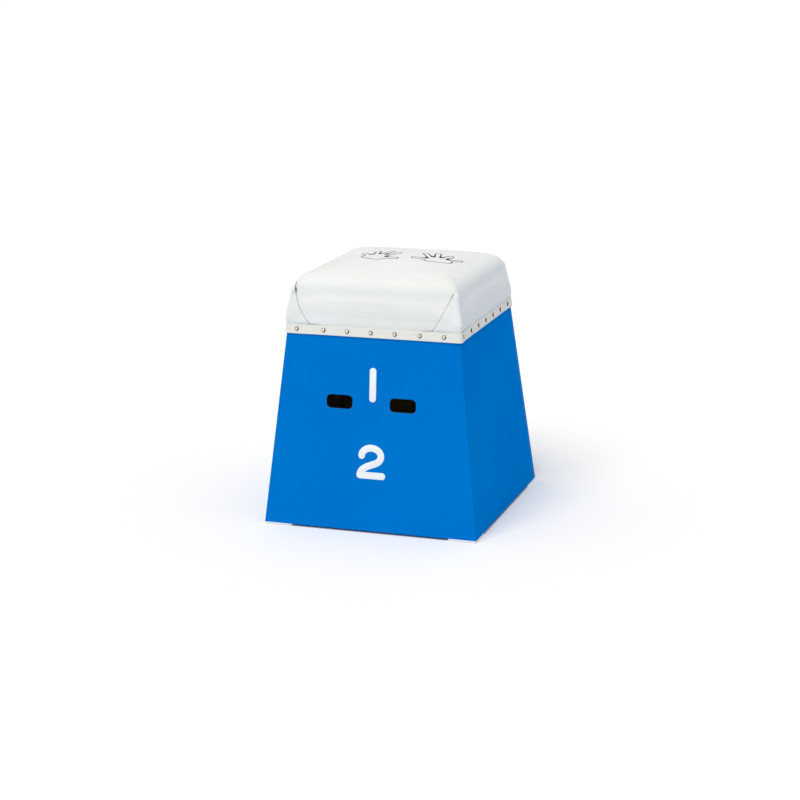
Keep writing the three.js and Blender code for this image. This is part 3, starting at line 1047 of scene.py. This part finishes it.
# A point of a line on the front: side is -1 for its left half, and 1 for its right half
def linePoint(row, way, lift, side):
    arc = row["radius"] * quarter / 2
    flat = row["half"] - row["radius"]
    out = lift * math.cos(row["slope"])
    z = row["z"] + lift * math.sin(row["slope"])
    if way < arc:
        angle = (arc - way) / row["radius"]
        reach = row["radius"] + out
        return Vector((side * (flat + reach * math.sin(angle)), -flat - reach * math.cos(angle), z))
    return Vector((side * (flat + arc - way), -row["half"] - out, z))


# The cloth is never quite even
def unevenAt(place):
    spot = place * cover["lumps"]
    return cover["unevenness"] * (noise.noise(spot) + noise.noise(spot * cover["fineLumps"]) / 2)


# Over the tape the cloth is drawn in by the tacks
def softLift(place, turn, z):
    pull = sum(bell(place.x - x, cover["pullWidth"]) for x in tackTable[turn]) - cover["slack"]
    drawn = cover["pull"] * pull * math.exp(-max(z - tapeHigh.z, 0) / cover["pullHeight"])
    return limit((z - tapeHigh.z) / cover["pullStart"]) * (unevenAt(turned(place, turn)) - drawn)


# All points of one face's lines, by row and column
def facePoints(turn, rows, half, soft):
    table = []
    for row in rows:
        line = []
        for side in (0, 1):
            points = []
            for way, lift in half(row, turn, side):
                point = linePoint(row, way, lift, 2 * side - 1)
                if soft:
                    lift += softLift(point, turn, row["z"])
                    point = linePoint(row, way, lift, 2 * side - 1)
                points.append(point)
            line.append(points)
        table.append([turned(point, turn) for point in line[0] + line[1][-2::-1]])
    return table


# Share of the way from the crown's top to its rim, for a place on the crown
def crownShare(x, y, rim):
    x, y = abs(x), abs(y)
    low, high = 0, cover["searchReach"]
    for _ in range(cover["searchSteps"]):
        share = (low + high) / 2
        half = rim["half"] * share
        radius = mix(half, rim["radius"], limit(share))
        across, along = x - half + radius, y - half + radius
        gap = math.hypot(max(across, 0), max(along, 0)) + min(max(across, along), 0) - radius
        low, high = (share, high) if gap > 0 else (low, share)
    return share


# A point of the crown, by its column from the left and its row from the front
def crownPoint(i, j, count, corner, rim, soft):
    flat = rim["half"] - rim["radius"]
    near = [min(i, count - i), min(j, count - j)]
    out = [max(corner - steps, 0) / corner for steps in near]
    place = [flat * (count / 2 - steps) / (count / 2 - corner) for steps in near]
    for axis in (0, 1):
        if near[axis] < corner:
            place[axis] = flat + rim["radius"] * out[axis] * math.sqrt(1 - out[1 - axis] ** 2 / 2)
    if soft and near[0] >= corner:
        tight = flat + rim["radius"] * quarter / 2 - rimWays(rim)[near[0]]
        place[0] = mix(tight, place[0], smooth((rim["half"] - place[1]) / cover["spread"]))
    x = math.copysign(place[0], i - count / 2)
    y = math.copysign(place[1], j - count / 2)
    point = Vector((x, y, rim["z"] + crownRise * (1 - crownShare(x, y, rim) ** 2)))
    return point + Vector((0, 0, unevenAt(point))) if soft else point


# How dark the cloth is painted inside the folds, and a little at their foot: painted shade, with some dirt
def creaseShadeAt(i, j, count, point):
    first, last = fold["bendSteps"], pleatColumns
    steps = min(i, count - i) - cover["foldedColumns"]
    if 0 <= j <= count or steps < first:
        return 0
    side = 0 if (i < count / 2) == (j < 0) else 1
    over = point.z - tapeHigh.z
    if steps > last:
        way = crowded(steps - last) * faceAt(point.z)
        return fold["hemShade"] * bell(over, fold["hemHeight"]) * bell(way, fold["hemReach"])
    under = deckTop + fold["top"][side] - point.z
    ends = bell(over, fold["footReach"]) + bell(under - fold["headReach"], fold["headReach"]) * side
    mouth = fold["mouthShade"][side] * bell(under - fold["gapeDrop"][side], fold["mouthHeight"])
    toe = max(mix(fold["foldShade"][side], fold["endShade"], limit(ends)), mouth)
    foldShade = {first: fold["bendShade"], last: toe}.get(steps, fold["innerDirt"])
    return foldShade * smooth(under / fold["fade"][side])


# A flat grid pulled over the pad: its middle becomes the crown and its four flaps the sides.
# The squares at its corners are cut away, and the flaps' edges join down the pad's corners.
def makeWrap(rows, half, count, corner, soft=False):
    total = count + 2 * (len(rows) - 1)
    bpy.ops.mesh.primitive_grid_add(x_subdivisions=total, y_subdivisions=total, size=total)
    wrap = bpy.context.object
    inner = count / 2
    startEdit(wrap)
    choose("FACE", lambda middle, face: abs(middle.x) > inner and abs(middle.y) > inner)
    bpy.ops.mesh.delete(type="FACE")
    endEdit()
    faces = [facePoints(turn, rows, half, soft) for turn in range(4)]
    for turn in range(4):
        for line, nextLine in zip(faces[turn], faces[(turn + 1) % 4]):
            line[count] = nextLine[0]

    def placeOf(i, j):
        if j <= 0 and 0 <= i <= count:
            return faces[0][-j][i]
        if i >= count and 0 <= j <= count:
            return faces[1][i - count][j]
        if j >= count and 0 <= i <= count:
            return faces[2][j - count][count - i]
        if i <= 0:
            return faces[3][-i][count - j]
        return crownPoint(i, j, count, corner, rows[0], soft)

    keys = [(round(point.co.x + inner), round(point.co.y + inner)) for point in wrap.data.vertices]
    places = {key: placeOf(*key) for key in keys}
    for point, key in zip(wrap.data.vertices, keys):
        point.co = places[key]
    mapCloth(wrap, keys, places, count)
    if soft:
        # Painted shade in the folds, with some dirt, kept on the cloth's points for its finish
        creaseShade = wrap.data.attributes.new("creaseShade", "FLOAT", "POINT")
        for index, key in enumerate(keys):
            creaseShade.data[index].value = creaseShadeAt(*key, count, places[key])
    startEdit(wrap)
    bpy.ops.mesh.remove_doubles(threshold=weld)
    faceOutwards()
    endEdit()
    return wrap


# The cloth's own map in metres: ways along the grid's two directions from its middle lines
def mapCloth(wrap, keys, places, count):
    maps = [{}, {}]
    for axis in (0, 1):
        for start in [key for key in places if key[axis] == count // 2]:
            for step in (-1, 1):
                way, here = 0, start
                while here in places:
                    maps[axis][here] = way * step
                    there = (here[0] + step, here[1]) if axis == 0 else (here[0], here[1] + step)
                    way += (places[there] - places[here]).length if there in places else 0
                    here = there
    layer = wrap.data.uv_layers.active
    for loop in wrap.data.loops:
        key = keys[loop.vertex_index]
        layer.data[loop.index].uv = (maps[0][key], maps[1][key])


foam = {
    "depth": 1.6 * mm,  # under the cloth's face
    "clearance": 0.3 * mm,
    "sideRows": 14,
    "edgeRows": 8,
    "columns": 72,
    "cornerColumns": 3,
    "voxel": 6 * mm,
    "pressure": 4,
    "frames": 20,
    "swell": 1.6 * mm,  # how far a point may move
    "held": 12 * mm,  # height over the deck that is held
    "neighbours": 8,  # points whose movement a place on the cloth follows
}
foamLow = deckTop + foam["clearance"]


# The foam, swollen by a short cloth simulation. Returns a function of how far a place on it has moved.
def makeFoam():
    levels = [mix(edgeStart, foamLow, k / foam["sideRows"]) for k in range(foam["sideRows"] + 1)]
    rows = levelLines(levels, foam["edgeRows"], foam["depth"])
    columns, corner = foam["columns"], foam["cornerColumns"]
    core = makeWrap(rows, lambda row, turn, side: plainHalf(row, columns // 2, corner, 0), columns, corner)
    startEdit(core)
    bpy.ops.mesh.select_mode(type="EDGE")
    bpy.ops.mesh.select_all(action="DESELECT")
    bpy.ops.mesh.select_non_manifold()
    bpy.ops.mesh.edge_face_add()
    faceOutwards()
    endEdit()
    finishWith(core, "REMESH", mode="VOXEL", voxel_size=foam["voxel"])
    before = [point.co.copy() for point in core.data.vertices]
    swell(core)
    tree = kdtree.KDTree(len(before))
    shifts = []
    for index, (place, point) in enumerate(zip(before, core.data.vertices)):
        tree.insert(place, index)
        shift = point.co - place
        shift *= foam["swell"] / max(shift.length, foam["swell"])
        shifts.append(shift * smooth((place.z - foamLow) / foam["held"]))
        point.co = place + shifts[-1]
    tree.balance()
    fit(named(settle(core, angle=60), "foam_core"), [foamSurface], "foam_pad")

    def movedAt(place):
        near = [shifts[index] for _, index, _ in tree.find_n(place, foam["neighbours"])]
        return sum(near, Vector()) / len(near)

    return movedAt


def swell(piece):
    group = piece.vertex_groups.new(name="held")
    held = foamLow + foam["held"]
    group.add([point.index for point in piece.data.vertices if point.co.z < held], 1, "REPLACE")
    takeUp(piece)
    cloth = piece.modifiers.new("cloth", "CLOTH")
    cloth.settings.vertex_group_mass = "held"
    cloth.settings.use_pressure = True
    cloth.settings.uniform_pressure_force = foam["pressure"]
    cloth.settings.effector_weights.gravity = 0
    for step in range(1, foam["frames"] + 1):
        bpy.context.scene.frame_set(step)
    bpy.ops.object.modifier_apply(modifier=cloth.name)
    bpy.context.scene.frame_set(1)


def makeCover(moved):
    depth = cover["thickness"] / 2
    under = pad["face"] - cover["clearance"] - cover["thickness"]  # on the boards it lies this much deeper
    low, high = coverLow.z, tapeHigh.z
    levels = [mix(edgeStart, high, k / cover["sideRows"]) for k in range(cover["sideRows"])]
    levels += [mix(high, low, k / cover["hemRows"]) for k in range(cover["hemRows"] + 1)]
    rows = levelLines(levels, cover["edgeRows"], depth)
    for row in rows:
        row["half"] -= under * smooth((deckTop - row["z"]) / (deckTop - high)) / leanCos

    def half(row, turn, side):
        line = foldedHalf(row, (turn + side) % 4)
        if turn % 2 == 0:
            return line
        return plainHalf(row, halfColumns, cover["cornerColumns"], line[0][1])

    sheet = makeWrap(rows, half, 2 * halfColumns, cover["cornerColumns"], soft=True)
    for point in sheet.data.vertices:
        point.co += moved(point.co) * smooth((point.co.z - high) / foam["held"])
    finishWith(sheet, "SOLIDIFY", thickness=cover["thickness"], offset=0, use_even_offset=False)
    fit(named(settle(sheet, angle=75), "pulled_canvas"), [canvasCloth], "canvas_cover")
    return sheet


coverSheet = makeCover(makeFoam())
print("pad covered:", len(coverSheet.data.vertices), "points")


# A place on the tape, at a way round the box from the rear's middle. Returns it with its outward
# direction, its face's number, and how far across that face it lies.
def tapePoint(way, z, out):
    half = faceAt(z) + out / leanCos
    radius = tape["cornerRadius"]
    flat = half - radius
    spans = [flat] + [radius * quarter, 2 * flat] * 4
    k = 0
    while k < len(spans) - 1 and way > spans[k]:
        way -= spans[k]
        k += 1
    if k % 2 == 0:
        turn = 2 + k // 2
        normal = Vector((0, -1, 0))
        place = Vector((way if k == 0 else way - flat, -half, z))
    else:
        turn = 2 + (k - 1) // 2
        angle = way / radius
        normal = Vector((math.sin(angle), -math.cos(angle), 0))
        place = Vector((flat, -flat, z)) + normal * radius
    corner = (turn + int(place.x > 0)) % 4
    place += normal * tape["cornerLift"][corner] * bell(max(flat - abs(place.x), 0), tape["cornerFade"])
    return turned(place, turn), turned(normal, turn), turn % 4, place.x


def tapeLength(z, out):
    flat = faceAt(z) + out / leanCos - tape["cornerRadius"]
    return 4 * (2 * flat + quarter * tape["cornerRadius"])


def makeTape():
    bpy.ops.mesh.primitive_grid_add(x_subdivisions=tape["stations"], y_subdivisions=tape["rows"], size=2)
    strip = bpy.context.object
    seat = (tapeHigh.x - faceAt(tapeLow.z)) * leanCos - tape["thickness"] / 2
    layer = strip.data.uv_layers.active
    shares = [((point.co.x + 1) / 2, (point.co.y + 1) / 2) for point in strip.data.vertices]
    middle = tapeLength(tackLevel, seat)
    for loop in strip.data.loops:
        across, up = shares[loop.vertex_index]
        layer.data[loop.index].uv = (across * middle, up * tapeWidth)
    for point, (across, up) in zip(strip.data.vertices, shares):
        z = mix(tapeLow.z, tapeHigh.z, up)
        way = mix(tape["joint"] / 2, tapeLength(z, seat) - tape["joint"] / 2, across)
        place, normal, turn, x = tapePoint(way, z, seat)
        near = sum(bell(x - tack, tape["dimpleWidth"]) for tack in tackTable[turn])
        drawn = tape["dimple"] * near * bell(z - tackLevel, tape["dimpleWidth"])
        wave = tape["wave"] * noise.noise(place * tape["waveScale"])
        place.z += tape["wander"] * noise.noise(Vector((way * tape["wanderScale"], tape["wanderRow"], 0)))
        point.co = place + normal * (wave - drawn)
    finishWith(strip, "SOLIDIFY", thickness=tape["thickness"], offset=0, use_even_offset=False)
    startEdit(strip)
    ease(tape["edgeEasing"], lambda place, edge: isSharp(edge, tape["edgeAngle"]), segments=2)
    faceOutwards()
    endEdit()
    fit(named(settle(strip, angle=50), "wound_tape"), [tapeCloth], "edge_tape")


makeTape()
print("tape wound")


# A turned piece: a disc drawn up along a profile of radii and heights
def makeTurned(profile, segments):
    bpy.ops.mesh.primitive_circle_add(vertices=segments, radius=profile[0][0], fill_type="NGON",
                                      location=(0, 0, profile[0][1]))
    piece = bpy.context.object
    startEdit(piece)
    for (wide, low), (wideNext, high) in zip(profile, profile[1:]):
        bpy.ops.mesh.extrude_region_move(TRANSFORM_OT_translate={"value": (0, 0, high - low)})
        bpy.ops.transform.resize(value=(wideNext / wide, wideNext / wide, 1))
    faceOutwards()
    endEdit()
    settle(piece, angle=35)
    low, high = profile[0][1], max(level for _, level in profile)
    layer = piece.data.uv_layers.active or piece.data.uv_layers.new()
    for loop in piece.data.loops:
        point = piece.data.vertices[loop.vertex_index].co
        turn = math.atan2(point.y, point.x) / (2 * math.pi)
        layer.data[loop.index].uv = (turn, (point.z - low) / (high - low))
    return piece


tack = {
    "radius": 4.5 * mm,
    "flange": 0.45 * mm,
    "dome": 2.55 * mm,
    "shank": 0.9 * mm,
    "length": 12 * mm,
    "point": 3 * mm,
    "tip": 0.12 * mm,
    "seat": 3.32 * mm,  # outwards from the boards, on the tape
    "tilt": math.radians(3.5),
    "segments": 24,
    "domeSteps": 8,
    "crest": 0.315 * mm,  # radius of the flat at the dome's top
    "seed": 7,
}


def makeTacks():
    profile = [(tack["tip"], -tack["length"]), (tack["shank"], tack["point"] - tack["length"])]
    profile += [(tack["shank"], 0), (tack["radius"] - tack["flange"] / 2, 0)]
    profile.append((tack["radius"], tack["flange"] / 2))
    for k in range(tack["domeSteps"]):
        angle = quarter * k / tack["domeSteps"]
        wide = (tack["radius"] - tack["flange"] / 3) * math.cos(angle)
        profile.append((wide, tack["flange"] + tack["dome"] * math.sin(angle)))
    profile.append((tack["crest"], tack["flange"] + tack["dome"]))
    model = makeTurned(profile, tack["segments"])
    picks = random.Random(tack["seed"])
    for turn, faceName in enumerate(faceNames):
        for k, x in enumerate(tackTable[turn], start=1):
            tilt = Matrix.Rotation(picks.uniform(-1, 1) * tack["tilt"], 4, "X")
            tilt = tilt @ Matrix.Rotation(picks.uniform(-1, 1) * tack["tilt"], 4, "Y")
            spin = Matrix.Rotation(picks.uniform(0, math.pi), 4, "Z")
            place = faceMatrix(x, tackLevel, tack["seat"], turn) @ tilt @ spin
            nail = copyPlaced(model, f"{faceName}_dome_tack_{k}", place)
            fit(nail, [brass], f"{faceName}_tack_{k}")
    bpy.data.objects.remove(model)


makeTacks()
print("tacks driven")

foot = {
    "side": 66 * mm,
    "thickness": 5 * mm,
    "corner": 5 * mm,
    "easing": 1 * mm,
    "screwHead": 4.2 * mm,
    "headHeight": 2.6 * mm,
    "shank": 2 * mm,
    "recess": 1.2 * mm,
    "screwLength": 32 * mm,
    "point": 4 * mm,
    "slot": 1.1 * mm,
    "slotReach": 4.6 * mm,
    "slotDepth": 1.6 * mm,
    "clearance": 0.15 * mm,
    "screwTip": 0.2 * mm,
    "segments": 32,
    "cornerSegments": 8,
    "cornerStart": 26.4 * mm,  # the corners' edges lie further from the middle, both ways
}


# The foot screw stands on its head, in a countersink open to the floor
def screwProfile(grow):
    wide, narrow = foot["screwHead"] + grow, foot["shank"] + grow
    head = [(wide, foot["recess"]), (narrow, foot["recess"] + foot["headHeight"])]
    if grow:
        return [(wide, -mm), *head, (narrow, foot["thickness"] + mm)]
    end = foot["recess"] + foot["screwLength"]
    return [*head, (narrow, end - foot["point"]), (foot["screwTip"], end)]


def makeFeet():
    block = addBlock((foot["side"], foot["side"], foot["thickness"]), (0, 0, foot["thickness"] / 2))
    startEdit(block)
    ease(foot["corner"], lambda middle, edge: min(abs(middle.x), abs(middle.y)) > foot["cornerStart"],
         segments=foot["cornerSegments"])
    ease(foot["easing"], lambda middle, edge: reachAlong(edge, 2) < foot["easing"] / 2)
    endEdit()
    combine(block, makeTurned(screwProfile(foot["clearance"]), foot["segments"]), "DIFFERENCE")
    screw = makeTurned(screwProfile(0), foot["segments"])
    for turn in (0, quarter):
        size = (foot["slotReach"], foot["slot"], 2 * foot["slotDepth"])
        combine(screw, addBlock(size, (0, 0, foot["recess"]), (0, 0, turn)), "DIFFERENCE")
    for model, kind, name, finish, slotName in (
        (settle(block), "foot", "foot_pad", rubber, "foot_rubber"),
        (settle(screw, angle=30), "foot_screw", "foot_fixing", zinc, "steel"),
    ):
        low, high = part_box(f"{cornerNames[0]}_{kind}")
        place = Matrix.Translation(((low.x + high.x) / 2, (low.y + high.y) / 2, 0))
        for turn, corner in enumerate(cornerNames):
            copy = copyPlaced(model, f"{corner}_{name}", quarterTurn(turn) @ place)
            fit(copy, [finish], f"{corner}_{kind}")
        bpy.data.objects.remove(model)


makeFeet()
print("feet fixed")

# Hands: a plain outline of a hand, palm down, that shows where to put one's own
hand = {
    "line": 5 * mm,
    "film": 0.16 * mm,
    "lift": 0.03 * mm,
    "sunk": 1 * mm,  # how much of the round line lies below the cloth before it is made flat
    "step": 1.8 * mm,
    "tipSteps": 8,
    "cut": 0.25,  # share of a side at which its corner is cut off
    "wrist": [Vector((-23, -3)) * mm, Vector((24, 8)) * mm],
    "heel": [Vector((-30, 8)) * mm, Vector((32, 20)) * mm],
    "fingers": [  # root, lean to the left in degrees, length and width, in millimetres
        ((-28, 19), 75, 34, 13.5),
        ((-22, 43), 24, 38, 13),
        ((-6, 51), 3, 41, 13),
        ((10, 48), -24, 37, 12.5),
        ((24, 35), -52, 33, 11.5),
    ],
    "places": {  # and turns
        "left": (Vector((-56, -61)) * mm, math.radians(-14)),
        "right": (Vector((101, -47)) * mm, math.radians(10)),
    },
    "thick": [0.58, 1.7],  # of the line, away from the gaps between the fingers and in them
    "thickReach": 11 * mm,
}


def handOutline():
    outline = [hand["wrist"][0], hand["heel"][0]]
    for root, leanLeft, length, width in hand["fingers"]:
        angle = math.radians(leanLeft)
        along = Vector((-math.sin(angle), math.cos(angle)))
        side = Vector((along.y, -along.x)) * width / 2 * mm
        root = Vector(root) * mm
        middle = root + along * length / 2 * mm
        tip = root + along * (length - width / 2) * mm
        outline += [root - side, middle - side, tip - side]
        for k in range(1, hand["tipSteps"]):
            turn = math.pi * k / hand["tipSteps"]
            outline.append(tip - side * math.cos(turn) + along * side.length * math.sin(turn))
        outline += [tip + side, middle + side, root + side]
    outline += [hand["heel"][1], hand["wrist"][1]]
    for _ in range(2):  # each corner is cut off twice, which rounds it
        pairs = zip(outline, outline[1:] + outline[:1])
        outline = [a.lerp(b, share) for a, b in pairs for share in (hand["cut"], 1 - hand["cut"])]
    fine = []
    for a, b in zip(outline, outline[1:] + outline[:1]):
        steps = math.ceil((b - a).length / hand["step"])
        fine += [a.lerp(b, k / steps) for k in range(steps)]
    return fine


# Places between the fingers, where the pen pressed hardest
def fingerGaps():
    gaps = []
    for (root, *_), (nextRoot, *_) in zip(hand["fingers"], hand["fingers"][1:]):
        gaps.append((Vector(root) + Vector(nextRoot)) / 2 * mm)
    return gaps


def makeHands():
    bpy.context.view_layer.update()
    for side, (place, turn) in hand["places"].items():
        mirror = -1 if side == "left" else 1
        spun = Matrix.Rotation(turn, 2)

        def laid(point):
            return (spun @ Vector((mirror * point.x, point.y)) + place).to_3d()

        line = makeLoop([laid(point) for point in handOutline()])
        takeUp(line)
        bpy.ops.object.convert(target="CURVE")
        line = bpy.context.object
        for point in line.data.splines[0].points:
            near = min((point.co.to_3d() - laid(gap)).length for gap in fingerGaps())
            point.radius = mix(*hand["thick"], bell(near, hand["thickReach"]))
        line.data.bevel_depth = hand["line"] / 2
        line.data.bevel_resolution = 1
        bpy.ops.object.convert(target="MESH")
        line = bpy.context.object
        flatten = 2 * hand["film"] / hand["line"]
        for point in line.data.vertices:
            x, y, z = point.co
            ground = coverSheet.ray_cast(Vector((x, y, 1)), Vector((0, 0, -1)))[1]
            point.co = (x, y, ground.z + hand["lift"] + max(z, -hand["sunk"]) * flatten)
        startEdit(line)
        faceOutwards()
        endEdit()
        fit(named(settle(line, angle=60), f"{side}_hand_mark"), [blackInk])


makeHands()
print("hands drawn")

light = {
    "around": 0.6,  # level of the surroundings where they light the box
    "aroundColour": (0.885, 0.95, 1.06, 1),
    "key": 1.77,
    "keyColour": (1.05, 1, 0.88),
    "keyFrom": Vector((-0.05, -0.28, 0.49)),
    "keySoftness": math.radians(38),
    "floorSide": 60,
    "floorDrop": 0.2 * mm,
    "floorGrain": (900, 0.3, 0.7, 0.995, 1),
    "floorSeen": (0.985, 0.97, 0.945, 1),
    "floorLit": (0.74, 0.79, 0.87, 1),  # the light that it throws back on the box
}


# 1 on rays from the camera, also by way of metal or glass, so that these show the background too
def seenFrom(tree):
    rays = addNode(tree, "ShaderNodeLightPath").outputs
    seen = rays["Is Camera Ray"]
    for kind in ("Is Glossy Ray", "Is Transmission Ray"):
        either = addNode(tree, "ShaderNodeMath", {0: seen, 1: rays[kind]}, operation="MAXIMUM")
        seen = either.outputs["Value"]
    return seen


def makeStage():
    drop = (0, 0, -light["floorDrop"])
    bpy.ops.mesh.primitive_plane_add(size=light["floorSide"], location=drop)
    floor = named(bpy.context.object, "floor")
    finish = Finish("floor_paper", Roughness=0.95, Specular_IOR_Level=0)
    seen = seenFrom(finish.tree)
    grain = finish.mottle(finish.place(), light["floorGrain"], detail=2)
    tone = finish.blend(seen, light["floorLit"], light["floorSeen"])
    tone = finish.blend(grain, (0, 0, 0, 1), tone)
    floor.data.materials.append(finish.use(Base_Color=tone))

    bpy.ops.object.light_add(type="SUN")
    sun = named(bpy.context.object, "key_light")
    sun.data.energy = light["key"]
    sun.data.angle = light["keySoftness"]
    sun.data.color = light["keyColour"]
    sun.rotation_euler = light["keyFrom"].to_track_quat("Z", "Y").to_euler()

    world = bpy.data.worlds.new("surroundings")
    bpy.context.scene.world = world
    world.use_nodes = True
    tree = world.node_tree
    seen = seenFrom(tree)
    strength = addNode(tree, "ShaderNodeMapRange", {"Value": seen, "To Min": light["around"], "To Max": 1})
    tint = blendColours(tree, seen, light["aroundColour"], (1, 1, 1, 1))
    background = tree.nodes["Background"].inputs
    tree.links.new(strength.outputs["Result"], background["Strength"])
    tree.links.new(tint, background["Color"])


makeStage()
